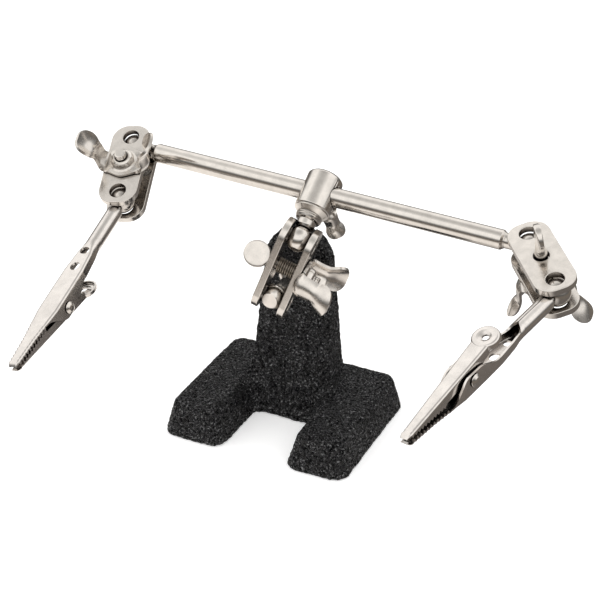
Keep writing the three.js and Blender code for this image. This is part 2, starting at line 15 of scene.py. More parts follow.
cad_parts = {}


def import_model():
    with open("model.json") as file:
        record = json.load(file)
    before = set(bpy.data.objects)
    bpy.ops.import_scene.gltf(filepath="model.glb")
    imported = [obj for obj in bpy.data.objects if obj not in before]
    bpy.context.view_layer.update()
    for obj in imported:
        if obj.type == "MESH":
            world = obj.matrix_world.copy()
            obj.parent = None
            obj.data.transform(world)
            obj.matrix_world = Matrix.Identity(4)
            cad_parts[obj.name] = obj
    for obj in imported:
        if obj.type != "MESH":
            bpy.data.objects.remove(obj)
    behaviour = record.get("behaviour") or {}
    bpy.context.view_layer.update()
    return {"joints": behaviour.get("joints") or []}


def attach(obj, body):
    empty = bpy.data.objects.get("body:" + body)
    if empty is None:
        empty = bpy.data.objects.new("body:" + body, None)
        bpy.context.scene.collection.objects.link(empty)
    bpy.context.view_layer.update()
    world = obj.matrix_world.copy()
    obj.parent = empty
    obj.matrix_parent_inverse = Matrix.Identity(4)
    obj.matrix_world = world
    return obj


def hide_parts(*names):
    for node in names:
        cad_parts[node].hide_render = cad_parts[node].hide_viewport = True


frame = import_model()

# ------------------------------------------------------------------ sizes, in millimetres
MM = 0.001
BASE = {"x": 60.0, "y": 47.8, "z": 10.7, "draft": 2.0, "corner": 5.0, "round": 2.2}
NOTCH = {"half": 10.2, "back": -1.0, "draft": 2.3, "radius": 2.5}
UPRIGHT = {
    "x": 0.5, "foot": 13.2, "top": 10.2, "centre_z": 50.3, "back": 12.0, "front": 3.8, "top_front": 7.2,
    "flare": 4.5, "sink": 1.4,
}
ROUGHNESS = {"fine": 0.22, "fine_scale": 0.95, "broad": 0.2, "broad_scale": 0.16}
BALL = 3.7
NECK = 2.1
SPIGOT = 1.5
# heights from a ball's centre: where its neck stops, where its spigot ends and the floor of its socket
NECK_END = BALL - 0.3
SPIGOT_END = 0.7
SOCKET_FLOOR = 0.3
SOCKET = SPIGOT + 0.1
SEAT_Y = 5.0
ROD = 2.8
PLATE = {"length": 28.0, "width": 11.6, "thick": 2.0, "corner": 4.8, "ball_hole": 2.45, "bolt_hole": 2.1}
GAP_BETWEEN_PLATES = 6.1
NUT_GAP = 0.3
BALL_SPACING = 19.5
BOLT = {"radius": 1.7, "paddle": 3.9, "thick": 1.7, "tail": 10.2, "pitch": 0.7}
PADDLES = {"center": (9.3, -0.445), "left": (11.0, 0.0), "right": (11.0, 0.15)}
WING_TURN = {"center": 0.0, "left": -0.042, "right": 0.593, "screw": math.radians(48)}
SCREW_SCALE = 0.66
BARREL = {"radius": 5.25, "top": 5.8, "bottom": -6.6, "step": 3.9, "stem": 15.0}
CLIP = {
    "sheet": 0.62, "length": 64.4, "web": -1.7, "half": 3.5, "tube": 2.25, "tube_start": 4.6,
    "tube_end": 19.5, "jaw_start": 17.0, "rivet": 1.1, "pivot_y": 1.8, "pivot_z": 40.2,
    "pad": 3.9, "pad_y": 7.0, "pad_z": 30.0,
}
TEETH = {"count": 11, "start": 50.0, "end": 63.1}


# ------------------------------------------------------------------ frames from the joints
JOINTS = {joint["name"]: joint for joint in frame["joints"]}


def at(joint):
    return Vector(JOINTS[joint]["pos_m"])


def axis(joint):
    return Vector(JOINTS[joint]["axis"]).normalized()


def local_frame(origin, z_axis, y_hint):
    """Matrix that takes a piece from its own millimetres to the part's frame in metres."""
    z = Vector(z_axis).normalized()
    x = Vector(y_hint).cross(z).normalized()
    y = z.cross(x)
    turn = Matrix((x, y, z)).transposed().to_4x4()
    return Matrix.Translation(Vector(origin)) @ turn @ Matrix.Scale(MM, 4)


STUD_BALL = at("stack_turn")
UPPER_BALL = at("holder_swing")
STACK_UP = (UPPER_BALL - STUD_BALL).normalized()
STACK_NORMAL = axis("stack_swing")
HOLDER_CENTRE = at("holder_screw_turn")
HOLDER_UP = axis("holder_twist")
ROD_ALONG = axis("rod_slide")
ROD_MIDDLE = (at("left_roll") + at("right_roll")) / 2
ROD_REACH = (at("right_roll") - at("left_roll")).length / 2 / MM


# ------------------------------------------------------------------ mesh helpers
def ease(t):
    t = min(max(t, 0.0), 1.0)
    return t * t * (3 - 2 * t)


def blend_through(knots, z):
    """Height at z on a curve that eases from knot to knot; knots are (z, height)."""
    for (z0, h0), (z1, h1) in zip(knots, knots[1:]):
        if z <= z1:
            return h0 + (h1 - h0) * ease((z - z0) / (z1 - z0))
    return knots[-1][1]


def straight_through(knots, z):
    return float(np.interp(z, [k[0] for k in knots], [k[1] for k in knots]))


def new_object(name, vertices, faces):
    mesh = bpy.data.meshes.new(name)
    mesh.from_pydata([tuple(v) for v in vertices], [], faces)
    obj = bpy.data.objects.new(name, mesh)
    bpy.context.scene.collection.objects.link(obj)
    return obj


def edit(obj, action):
    """Runs one bmesh action on an object's mesh."""
    bm = bmesh.new()
    bm.from_mesh(obj.data)
    action(bm)
    bm.to_mesh(obj.data)
    bm.free()
    return obj


def weld(obj, distance=1e-4):
    def action(bm):
        bmesh.ops.remove_doubles(bm, verts=bm.verts, dist=distance)
        bmesh.ops.dissolve_degenerate(bm, edges=bm.edges, dist=distance)
        bmesh.ops.recalc_face_normals(bm, faces=bm.faces)

    return edit(obj, action)


def grid(name, rows, close_across=False, cap=False):
    """Quads over rows of points. close_across joins each row's ends, cap fills the first and last rows."""
    rows = np.asarray(rows, float)
    count, width = rows.shape[:2]
    faces = []
    for i in range(count - 1):
        for j in range(width if close_across else width - 1):
            a, b = i * width + j, i * width + (j + 1) % width
            c, d = (i + 1) * width + (j + 1) % width, (i + 1) * width + j
            faces.append((a, b, c, d))
    if cap:
        faces.append(tuple(range(width))[::-1])
        faces.append(tuple((count - 1) * width + j for j in range(width)))
    return weld(new_object(name, rows.reshape(-1, 3), faces))


def fillet(points, steps=5, closed=False):
    """Polyline through (x, y) or (x, y, radius) points, with an arc in each corner that has a radius."""
    out = []
    count = len(points)
    for i, point in enumerate(points):
        radius = point[2] if len(point) > 2 else 0
        here = np.array(point[:2], float)
        if not radius or (not closed and i in (0, count - 1)):
            out.append(here)
            continue
        before = np.array(points[i - 1][:2], float)
        after = np.array(points[(i + 1) % count][:2], float)
        into = (here - before) / np.linalg.norm(here - before)
        away = (after - here) / np.linalg.norm(after - here)
        cross = into[0] * away[1] - into[1] * away[0]
        turn = math.acos(max(-1.0, min(1.0, float(into @ away))))
        if turn < 1e-3:
            out.append(here)
            continue
        start = here - into * radius * math.tan(turn / 2)
        side = 1 if cross > 0 else -1
        centre = start + np.array([-into[1], into[0]]) * side * radius
        for k in range(steps + 1):
            a = side * turn * k / steps
            arm = start - centre
            out.append(centre + np.array([
                arm[0] * math.cos(a) - arm[1] * math.sin(a),
                arm[0] * math.sin(a) + arm[1] * math.cos(a),
            ]))
    return out


def lathe(name, profile, segments=64, closed=False):
    """Body turned about Z from (radius, z) or (radius, z, corner radius) points."""
    points = fillet(profile, closed=closed)
    if closed:
        points.append(points[0])
    rows = []
    for r, z in points:
        row = []
        for k in range(segments):
            a = 2 * math.pi * k / segments
            row.append((r * math.cos(a), r * math.sin(a), z))
        rows.append(row)
    return grid(name, rows, close_across=True)


def sweep(name, points, radius, sides=12):
    """Round wire through points, with flat ends."""
    points = [Vector(p) for p in points]
    side = (points[1] - points[0]).orthogonal().normalized()
    rows = []
    for i, point in enumerate(points):
        ahead = (points[min(i + 1, len(points) - 1)] - points[max(i - 1, 0)]).normalized()
        side = (side - ahead * side.dot(ahead)).normalized()
        other = ahead.cross(side)
        rows.append([
            point + radius * (math.cos(a) * side + math.sin(a) * other)
            for a in (2 * math.pi * k / sides for k in range(sides))
        ])
    return grid(name, rows, close_across=True, cap=True)


def outline_solid(name, outline, low, high, holes=(), edge=0.3):
    """Plate over a closed XY outline with round holes (x, y, radius), its edges rounded by `edge`."""
    curve = bpy.data.curves.new(name, "CURVE")
    curve.dimensions = "2D"
    curve.fill_mode = "BOTH"
    curve.extrude = (high - low) / 2 - edge
    curve.bevel_depth = edge
    curve.bevel_resolution = 2
    curve.offset = -edge
    loops = [outline]
    angles = [2 * math.pi * k / 40 for k in range(40)]
    for x, y, r in holes:
        loops.append([(x + r * math.cos(a), y + r * math.sin(a)) for a in angles])
    for loop in loops:
        spline = curve.splines.new("POLY")
        spline.points.add(len(loop) - 1)
        spline.use_cyclic_u = True
        for point, (x, y) in zip(spline.points, loop):
            point.co = (x, y, 0, 1)
    holder = bpy.data.objects.new(name + "_outline", curve)
    bpy.context.scene.collection.objects.link(holder)
    mesh = bpy.data.meshes.new_from_object(holder.evaluated_get(bpy.context.evaluated_depsgraph_get()))
    bpy.data.objects.remove(holder)
    obj = bpy.data.objects.new(name, mesh)
    bpy.context.scene.collection.objects.link(obj)
    mesh.transform(Matrix.Translation((0, 0, (low + high) / 2)))
    mesh.materials.clear()
    return weld(obj, 1e-3)


def bake(obj):
    """Applies an object's modifiers."""
    bpy.context.view_layer.update()
    made = bpy.data.meshes.new_from_object(obj.evaluated_get(bpy.context.evaluated_depsgraph_get()))
    obj.modifiers.clear()
    old = obj.data
    obj.data = made
    bpy.data.meshes.remove(old)
    return obj


def combine(obj, other, operation):
    modifier = obj.modifiers.new("combine", "BOOLEAN")
    modifier.operation = operation
    modifier.object = other
    modifier.solver = "EXACT"
    bake(obj)
    bpy.data.objects.remove(other)
    return obj


def union(obj, other):
    return combine(obj, other, "UNION")


def cut(obj, other):
    return combine(obj, other, "DIFFERENCE")


def move(obj, matrix):
    obj.data.transform(matrix)
    return obj


def pin(radius, low, high, segments=48):
    return lathe("pin", [(0, low), (radius, low), (radius, high), (0, high)], segments)


def pin_along(direction, radius, low, high, through=(0, 0, 0)):
    """Cutting pin along an axis through a point."""
    turn = Vector((0, 0, 1)).rotation_difference(Vector(direction)).to_matrix().to_4x4()
    return move(pin(radius, low, high), Matrix.Translation(Vector(through)) @ turn)


def ease_edges(obj, width, angle):
    bevel = obj.modifiers.new("edge", "BEVEL")
    bevel.width = width
    bevel.segments = 2
    bevel.limit_method = "ANGLE"
    bevel.angle_limit = math.radians(angle)
    bevel.use_clamp_overlap = True
    bevel.harden_normals = False
    return bake(obj)


def smooth_shading(obj, angle=38):
    """Smooth faces that keep their creases, with flats staying flat."""
    def action(bm):
        limit = math.radians(angle)
        for face in bm.faces:
            face.smooth = True
        for edge in bm.edges:
            edge.smooth = len(edge.link_faces) == 2 and edge.calc_face_angle(0) < limit

    edit(obj, action)
    weighted = obj.modifiers.new("weighted", "WEIGHTED_NORMAL")
    weighted.keep_sharp = True
    weighted.weight = 60
    return bake(obj)


def finish_piece(obj, name, matrix, material, body, angle=38):
    """Shades, paints and places a piece, and lets it stand for its CAD node."""
    smooth_shading(obj, angle)
    mesh = obj.data
    own = mesh.attributes.new("own_mm", "FLOAT_VECTOR", "POINT")
    co = np.empty(len(mesh.vertices) * 3, np.float32)
    mesh.vertices.foreach_get("co", co)
    own.data.foreach_set("vector", co)
    move(obj, matrix)
    mesh.materials.clear()
    mesh.materials.append(material)
    obj.name = mesh.name = name + "_look"
    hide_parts(name)
    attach(obj, body)
    return obj


# ------------------------------------------------------------------ materials
class Nodes:
    """Short way to write a material's node tree."""

    def __init__(self, name):
        self.material = bpy.data.materials.new(name)
        self.material.use_nodes = True
        self.tree = self.material.node_tree
        self.shader = self.tree.nodes["Principled BSDF"]

    def add(self, kind, inputs=None, **settings):
        node = self.tree.nodes.new(kind)
        for key, value in settings.items():
            setattr(node, key, value)
        for key, value in (inputs or {}).items():
            if hasattr(value, "is_output"):
                self.tree.links.new(value, node.inputs[key])
            else:
                node.inputs[key].default_value = value
        return node

    def own_place(self, scale=(1, 1, 1)):
        """Place on the piece in its own millimetres, stretched by `scale`."""
        source = self.add("ShaderNodeAttribute", attribute_name="own_mm")
        return self.add("ShaderNodeMapping", {"Vector": source.outputs["Vector"], "Scale": scale}).outputs[0]

    def noise(self, place, scale, detail=3.0, roughness=0.55):
        node = self.add("ShaderNodeTexNoise", {
            "Vector": place, "Scale": scale, "Detail": detail, "Roughness": roughness,
        })
        return node.outputs["Fac"]

    def spread(self, value, low, high, from_low=0.3, from_high=0.7):
        node = self.add("ShaderNodeMapRange", {
            "Value": value, "From Min": from_low, "From Max": from_high, "To Min": low, "To Max": high,
        })
        return node.outputs["Result"]

    def mix(self, factor, a, b):
        node = self.add("ShaderNodeMix", {0: factor, 6: a, 7: b}, data_type="RGBA")
        return node.outputs[2]

    def bump(self, height, strength, distance, normal=None):
        inputs = {"Height": height, "Strength": strength, "Distance": distance}
        if normal is not None:
            inputs["Normal"] = normal
        return self.add("ShaderNodeBump", inputs).outputs["Normal"]

    def set(self, **inputs):
        for key, value in inputs.items():
            socket = self.shader.inputs[key.replace("_", " ")]
            if hasattr(value, "is_output"):
                self.tree.links.new(value, socket)
            else:
                socket.default_value = value
        return self.material


def nickel(name, grain=(1, 1, 1), tone=(0.80, 0.76, 0.715), gloss=(0.09, 0.20), marks=0.18, reach=3.0):
    """Bright nickel plate.

    grain stretches the fine working marks along the piece's own axes, gloss is the range of roughness and
    reach is how far out of a crevice the painted shade reaches, in millimetres.
    """
    m = Nodes(name)
    cloud = m.noise(m.own_place(), 0.35, 4.0)
    fine = m.noise(m.own_place(grain), 2.2, 5.0, 0.65)
    pits = m.noise(m.own_place(), 1.1, 2.0)
    dull = tuple(c * 0.86 for c in tone) + (1,)
    # painted shade: the dark brown that creases and the gaps between parts are darkened towards
    painted_crevice_shade = (0.085, 0.070, 0.058, 1)
    plate = m.mix(m.spread(cloud, 0.0, 1.0, 0.35, 0.7), tone + (1,), dull)
    # painted shade: ambient occlusion within `reach` darkens the base colour in crevices and between parts,
    # standing in for shade
    crevice = m.add("ShaderNodeAmbientOcclusion", {"Distance": reach * MM}, samples=8).outputs["AO"]
    colour = m.mix(m.spread(crevice, 0.0, 1.0, 0.25, 0.85), painted_crevice_shade, plate)
    rough = m.add("ShaderNodeMath", {
        0: m.spread(fine, gloss[0], gloss[1]), 1: m.spread(cloud, -0.02, 0.05),
    }, operation="ADD").outputs[0]
    working = m.bump(fine, marks, 0.000012)
    normal = m.bump(pits, 0.08, 0.00003, working)
    return m.set(Base_Color=colour, Metallic=1.0, Roughness=rough, Normal=normal)


def spring_steel():
    m = Nodes("spring_steel")
    fine = m.noise(m.own_place((3, 3, 3)), 2.5, 4.0)
    colour = m.mix(m.spread(fine, 0.0, 1.0), (0.40, 0.36, 0.31, 1), (0.22, 0.19, 0.16, 1))
    return m.set(Base_Color=colour, Metallic=1.0, Roughness=m.spread(fine, 0.2, 0.38),
                 Normal=m.bump(fine, 0.3, 0.00002))


def black_casting():
    """Black wrinkle paint over a rough casting: dead black hollows, glossy crests and painted glints, bright
    grey specks in the colour that stand in for highlights.
    """
    m = Nodes("black_casting")
    place = m.own_place()
    broad = m.noise(place, 0.22, 3.0)
    wrinkle = m.noise(place, 0.95, 6.0, 0.78)
    grain = m.noise(place, 1.6, 4.0, 0.75)
    # painted highlight: a mask of sparse specks where the colour is lifted to bright grey, standing in for
    # glints of light on the paint
    painted_glints = m.spread(m.noise(place, 1.75, 3.0, 0.7), 0.0, 1.0, 0.575, 0.65)
    base = m.mix(m.spread(broad, 0.0, 1.0), (0.0018, 0.0018, 0.0021, 1), (0.0055, 0.0055, 0.006, 1))
    worn = m.mix(m.spread(wrinkle, 0.0, 1.0, 0.50, 0.62), base, (0.055, 0.055, 0.057, 1))
    colour = m.mix(painted_glints, worn, (0.42, 0.42, 0.425, 1))
    rough = m.spread(wrinkle, 0.42, 0.20)
    shine = m.spread(grain, 0.0, 0.95, 0.47, 0.60)
    coarse = m.bump(wrinkle, 1.0, 0.0024)
    normal = m.bump(grain, 1.0, 0.0010, coarse)
    return m.set(Base_Color=colour, Metallic=0.0, Roughness=rough, Normal=normal, Specular_IOR_Level=shine)


TURNED = nickel("turned_nickel", (0.25, 0.25, 5.0))
ROD_NICKEL = nickel("rod_nickel", (0.5, 0.5, 2.6), gloss=(0.09, 0.19))
SHEET = nickel("sheet_nickel", (1.0, 1.0, 1.0), gloss=(0.13, 0.27), marks=0.35)
CLIP_NICKEL = nickel("clip_nickel", (2.4, 2.4, 0.25), (0.84, 0.80, 0.765), (0.12, 0.24), 0.16, 5.0)
STEEL = spring_steel()
CASTING = black_casting()


# ------------------------------------------------------------------ base
def u_plan(inset, notch_inset):
    """U-shaped plan of the base, pulled in from its outside and from its notch."""
    x, y = BASE["x"] / 2 - inset, BASE["y"] / 2 - inset
    corner = BASE["corner"] - inset * 0.6
    left = UPRIGHT["x"] - NOTCH["half"] - notch_inset
    right = UPRIGHT["x"] + NOTCH["half"] + notch_inset
    back = NOTCH["back"] + notch_inset
    inner = NOTCH["radius"] + notch_inset
    return fillet([
        (-x, -y, corner), (left, -y, corner * 0.8), (left, back, inner), (right, back, inner),
        (right, -y, corner * 0.8), (x, -y, corner), (x, y, corner), (-x, y, corner),
    ], steps=8, closed=True)


def base_feet():
    """Feet with drafted sides and a rounded top edge."""
    rows = []
    straight = BASE["z"] - BASE["round"]
    levels = [(z, BASE["draft"] * z / straight) for z in (0.0, 0.3, straight * 0.5)]
    levels += [
        (straight + BASE["round"] * math.sin(a), BASE["draft"] + BASE["round"] * (1 - math.cos(a)))
        for a in np.linspace(0, math.pi / 2, 9)
    ]
    for z, inset in levels:
        steeper = (NOTCH["draft"] - BASE["draft"]) * min(z / straight, 1)
        rows.append([(px, py, z) for px, py in u_plan(inset, inset + steeper)])
    return grid("feet", rows, close_across=True, cap=True)


def prism(name, outline, low, high, turn):
    rows = [[(x, y, z) for x, y in outline] for z in (low, high)]
    return weld(move(grid(name, rows, close_across=True, cap=True), turn))


def upright():
    """Upright with a rounded top, from its face-on outline crossed with its edge-on one."""
    foot = BASE["z"] - UPRIGHT["sink"]
    flare = UPRIGHT["flare"]
    web_front = NOTCH["back"] + NOTCH["draft"]
    top, wide, cz = UPRIGHT["top"], UPRIGHT["foot"], UPRIGHT["centre_z"]
    front = [(-wide - flare, foot), (wide + flare, foot), (wide + flare * 0.3, foot + flare * 0.55),
             (wide - 0.2, foot + flare * 1.5)]
    front += [(top * math.cos(a), cz + top * math.sin(a)) for a in np.linspace(0, math.pi, 41)]
    front += [(-wide + 0.2, foot + flare * 1.5), (-wide - flare * 0.3, foot + flare * 0.55)]
    side = fillet([
        (UPRIGHT["back"] + 0.6, foot), (UPRIGHT["back"], cz + top, 1.5),
        (UPRIGHT["top_front"], cz + top, 1.5), (UPRIGHT["front"], foot + 13, 14),
        (web_front + 0.4, foot + 0.8), (web_front + 0.8, foot),
    ], steps=10, closed=True)
    face_on = Matrix(((1, 0, 0, 0), (0, 0, -1, 0), (0, 1, 0, 0), (0, 0, 0, 1)))
    edge_on = Matrix(((0, 0, 1, 0), (1, 0, 0, 0), (0, 1, 0, 0), (0, 0, 0, 1)))
    slab = prism("upright", front, -16, 6, face_on)
    body = combine(slab, prism("side", side, -30, 30, edge_on), "INTERSECT")
    return move(body, Matrix.Translation((UPRIGHT["x"], 0, 0)))


def base_casting():
    body = union(base_feet(), upright())
    remesh = body.modifiers.new("remesh", "REMESH")
    remesh.mode = "VOXEL"
    remesh.voxel_size = 0.36
    smooth = body.modifiers.new("smooth", "SMOOTH")
    smooth.factor = 0.5
    smooth.iterations = 14
    bake(body)
    mesh = body.data
    count = len(mesh.vertices)
    co = np.empty(count * 3)
    normals = np.empty(count * 3)
    mesh.vertices.foreach_get("co", co)
    mesh.vertices.foreach_get("normal", normals)
    co, normals = co.reshape(-1, 3), normals.reshape(-1, 3)
    for i in range(count):
        point = Vector(co[i])
        fine = noise.fractal(point * ROUGHNESS["fine_scale"], 0.9, 2.1, 4) * ROUGHNESS["fine"]
        broad = noise.noise(point * ROUGHNESS["broad_scale"]) * ROUGHNESS["broad"]
        co[i] += normals[i] * (fine + broad)
    co[:, 2] = np.maximum(co[:, 2], 0.0)
    mesh.vertices.foreach_set("co", co.ravel())
    mesh.update()
    x, z = STUD_BALL.x / MM, STUD_BALL.z / MM
    cut(body, pin_along((0, -1, 0), 5.0, -SEAT_Y, 12, (x, 0, z)))
    cut(body, pin_along((0, -1, 0), 2.65, -10.6, -SEAT_Y + 1, (x, 0, z)))
    finish_piece(body, "base_casting", Matrix.Scale(MM, 4), CASTING, "base", 60)


def base_stud():
    seat = STUD_BALL.y / MM - SEAT_Y + 0.3
    end = seat - 5.0
    body = lathe("stud", [
        (0, end), (2.5, end, 0.4), (2.5, seat), (4.1, seat, 0.3), (4.1, seat + 1.9, 0.5),
        (NECK, seat + 4.0, 1.2), (NECK, -NECK_END, 0.2), (SPIGOT, -NECK_END), (SPIGOT, -SPIGOT_END),
        (0, -SPIGOT_END),
    ])
    frame_here = local_frame(STUD_BALL, (0, -1, 0), (0, 0, 1))
    finish_piece(body, "base_stud", frame_here, TURNED, "base")


def ball(name, matrix, body, flat=1.3):
    """Turned ball: a small flat at its free end and a socket for its neck."""
    start = math.asin(flat / BALL)
    stop = math.pi - math.asin(SOCKET / BALL)
    arc = [(BALL * math.sin(a), BALL * math.cos(a)) for a in np.linspace(start, stop, 40)]
    profile = [(0, arc[0][1]), (flat - 0.25, arc[0][1])] + arc
    profile += [(SOCKET, -SOCKET_FLOOR), (0, -SOCKET_FLOOR)]
    finish_piece(lathe("ball", profile), name, matrix, TURNED, body)


# ------------------------------------------------------------------ clamp pieces
def clamp_plate(name, matrix, low, body):
    x, y = PLATE["width"] / 2, PLATE["length"] / 2
    outline = fillet([(a, b, PLATE["corner"]) for a, b in ((-x, -y), (x, -y), (x, y), (-x, y))], 12, True)
    holes = [(0, -BALL_SPACING / 2, PLATE["ball_hole"]), (0, 0, PLATE["bolt_hole"]),
             (0, BALL_SPACING / 2, PLATE["ball_hole"])]
    plate = outline_solid(name, outline, low, low + PLATE["thick"], holes, 0.24)
    finish_piece(plate, name, matrix, SHEET, body)


def threaded(radius, z, angle, pitch, start):
    """Radius of a screw thread that fades in at `start`."""
    phase = (z / pitch - angle / (2 * math.pi)) % 1.0
    depth = 0.16 * ease((z - start) / pitch)
    return radius - depth * abs(2 * phase - 1)


def paddle_bolt(name, matrix, paddle_z, paddle_turn, body):
    """Bolt along Z whose head is pressed into a flat round paddle."""
    radius, disc, half = BOLT["radius"], BOLT["paddle"], BOLT["thick"] / 2
    shank_start = -paddle_z + disc
    thread_start = 4.2
    stations = [-paddle_z - disc * math.cos(a) for a in np.linspace(0.02, math.pi * 0.86, 36)]
    stations += list(np.arange(stations[-1] + 0.2, thread_start, 0.4))
    stations += list(np.arange(thread_start, BOLT["tail"] - 0.3, BOLT["pitch"] / 12))
    stations += [BOLT["tail"] - 0.25, BOLT["tail"]]
    sides = 64
    rows = []
    for z in stations:
        in_disc = math.sqrt(max(disc * disc - (z + paddle_z) ** 2, 0.0))
        flatness = 1 - ease((z - shank_start + 1.6) / 2.6)
        wide = (in_disc ** 4 + (radius * (1 - flatness)) ** 4) ** 0.25
        thick = half * flatness + radius * (1 - flatness)
        thick = min(thick, wide * 0.9 + 0.05) if flatness > 0.5 else thick
        power = 2 + 3.5 * flatness
        taper = 0.35 if z == BOLT["tail"] else 0.0
        row = []
        for k in range(sides):
            a = 2 * math.pi * k / sides
            c, s = math.cos(a), math.sin(a)
            size = (abs(c) ** power + abs(s) ** power) ** (-1 / power)
            px, py = thick * size * c, wide * size * s
            if z > thread_start:
                r = threaded(radius, z, a, BOLT["pitch"], thread_start) - taper
                px, py = r * c, r * s
            row.append((px, py, z))
        rows.append(row)
    bolt = grid("bolt", rows, close_across=True, cap=True)
    turn = Matrix.Rotation(paddle_turn, 4, "Z")
    finish_piece(bolt, name, matrix @ turn, TURNED, body, angle=45)


WING = {
    "foot": 5.0, "bend": 1.3, "angle": math.radians(86), "curl": math.radians(56), "neck": 3.0,
    "trough": 1.5, "cup": 4.0, "cup_at": 14.3, "dish": 1.9, "thick": 0.8, "half_width": 5.0,
    "foot_slope": 0.52, "foot_round": 0.7,
}


def wing_path(s):
    """Middle line of a wing at distance s from the nut's axis: place, height and slope."""
    x = z = slope = 0.0
    step = 0.05
    travelled = 0.0
    bend_length = WING["bend"] * WING["angle"]
    curl_start = WING["cup_at"] - WING["cup"] * 1.5
    end = WING["cup_at"] + WING["cup"]
    while travelled < s - 1e-9:
        step_here = min(step, s - travelled)
        rise = ease((travelled - WING["foot"]) / bend_length) * WING["angle"]
        fall = ease((travelled - curl_start) / (end - curl_start)) * WING["curl"]
        slope = rise - fall
        x += math.cos(slope) * step_here
        z += math.sin(slope) * step_here
        travelled += step_here
    return x, z, slope


def wing_strap():
    """Surface of the pressed strap: a diamond foot that narrows into two trough necks with dished cups."""
    cup, centre, tip = WING["cup"], WING["cup_at"], WING["foot_round"]
    angles = np.linspace(math.acos(0.8), math.pi - 0.12, 20)
    stations = list(np.linspace(0, centre - cup * 0.8, 26)) + [centre - cup * math.cos(a) for a in angles[1:]]
    half_rows = []
    for s in stations:
        x, z, slope = wing_path(s)
        into_cup = ease((s - centre + cup) / cup)
        past_centre = max(s - centre, 0.0) / cup
        diamond = WING["half_width"] + tip - math.sqrt((WING["foot_slope"] * s) ** 2 + tip ** 2)
        neck = WING["neck"] * (1 - into_cup)
        power = 2.0 if s < centre else 2.6
        round_cup = max(cup ** power - abs(s - centre) ** power, 0.0) ** (1 / power)
        half = (max(diamond, 0.0) ** 4 + neck ** 4 + round_cup ** 4) ** 0.25
        trough = WING["trough"] * ease((s - 3.2) / 3.0)
        depth = (trough + (WING["dish"] - trough) * into_cup) * (1 - past_centre ** 2)
        row = []
        for v in np.linspace(-1, 1, 21):
            drop = depth * (1 - v * v)
            row.append((x + math.sin(slope) * drop, v * half, z - math.cos(slope) * drop))
        half_rows.append(row)
    mirrored = [[(-x, y, z) for x, y, z in row] for row in reversed(half_rows[1:])]
    return grid("strap", mirrored + half_rows)


def wing_head(bore=True):
    """Pressed wing head on z = 0: strap, raised collar and, for a nut, its bore."""
    strap = wing_strap()
    sheet = WING["thick"]
    move(strap, Matrix.Translation((0, 0, sheet)))
    solidify = strap.modifiers.new("sheet", "SOLIDIFY")
    solidify.thickness = sheet
    solidify.offset = 0
    bake(strap)
    move(strap, Matrix.Translation((0, 0, -sheet / 2)))
    ease_edges(strap, 0.2, 66)
    cut(strap, pin(2.3, -2, 4))
    collar = lathe("collar", [
        (1.7, 0.02), (3.0, 0.02), (4.1, sheet - 0.1), (3.35, sheet + 0.35, 0.5), (3.0, 2.6, 0.5),
        (2.3, 3.1, 0.4), (1.85, 2.95), (1.7, 2.7),
    ], closed=True)
    head = union(strap, collar)
    return head if bore else union(head, pin(1.9, 0.1, 2.9))


def wing_nut(name, matrix, turn, body):
    finish_piece(wing_head(), name, matrix @ Matrix.Rotation(turn, 4, "Z"), SHEET, body, angle=42)


def coil(radius, turns, low, high, wire, per_turn=36):
    """Compression spring along Z, with a closed turn at each end."""
    total = turns * per_turn
    points = []
    for k in range(int(total) + 1):
        t = k / total
        a = 2 * math.pi * turns * t
        lift = ease(t) * 0.35 + t * 0.65
        points.append((radius * math.cos(a), radius * math.sin(a), low + (high - low) * lift))
    return sweep("coil", points, wire)


def clamp(prefix, middle, normal, up, nut, fixed, loose, names, bodies):
    """One two-plate ball clamp. nut is the side of the wing nut along `normal`."""
    plate_frame = local_frame(middle, normal, up)
    hardware = local_frame(middle, normal * nut, up)
    half = GAP_BETWEEN_PLATES / 2
    fixed_low, loose_low = (-half - PLATE["thick"], half) if nut > 0 else (half, -half - PLATE["thick"])
    clamp_plate(names[fixed], plate_frame, fixed_low, bodies["clamp"])
    clamp_plate(names[loose], plate_frame, loose_low, bodies["loose"])
    paddle_z, paddle_turn = PADDLES[prefix]
    paddle_bolt(f"{prefix}_bolt", hardware, paddle_z, paddle_turn, bodies["clamp"])
    seat = hardware @ Matrix.Translation((0, 0, half + PLATE["thick"] + NUT_GAP))
    wing_nut(f"{prefix}_wing_nut", seat, WING_TURN[prefix], bodies["nut"])
    spring = coil(2.06, 8.25, -half + 0.56, half - 0.56, 0.25)
    finish_piece(spring, f"{prefix}_spring", plate_frame, STEEL, bodies["clamp"])


# ------------------------------------------------------------------ rod and its holder
def rod_holder():
    r, step = BARREL["radius"], BARREL["step"]
    top, bottom, stem = BARREL["top"], BARREL["bottom"], BARREL["stem"]
    neck_end = -stem + NECK_END
    body = lathe("holder", [
        (0, top + 0.1), (r - 1.0, top, 1.2), (r, top - 0.9, 1.0), (r, bottom + 1.2, 0.3),
        (r - 0.35, bottom + 0.75, 0.15), (r - 0.1, bottom + 0.5, 0.15), (step + 0.3, bottom - 0.4, 0.3),
        (step, bottom - 0.7, 0.15), (step - 0.18, bottom - 0.95, 0.1), (step, bottom - 1.2, 0.1),
        (step - 0.18, bottom - 1.5, 0.1), (step - 0.05, bottom - 1.8, 0.1), (step - 0.4, bottom - 2.4, 0.3),
        (NECK + 0.65, bottom - 2.8, 0.3), (NECK + 0.6, -stem + BALL + 0.4, 0.5),
        (NECK + 0.15, neck_end, 0.2), (SPIGOT, neck_end), (SPIGOT, -stem + SPIGOT_END),
        (0, -stem + SPIGOT_END),
    ], 96)
    cut(body, pin_along((1, 0, 0), ROD + 0.2, -10, 10))
    cut(body, pin_along((0, 1, 0), 1.95, 0, 10))
    ease_edges(body, 0.18, 50)
    holder_frame = local_frame(HOLDER_CENTRE, HOLDER_UP, HOLDER_UP.cross(ROD_ALONG))
    finish_piece(body, "rod_holder", holder_frame, TURNED, "rod_holder")


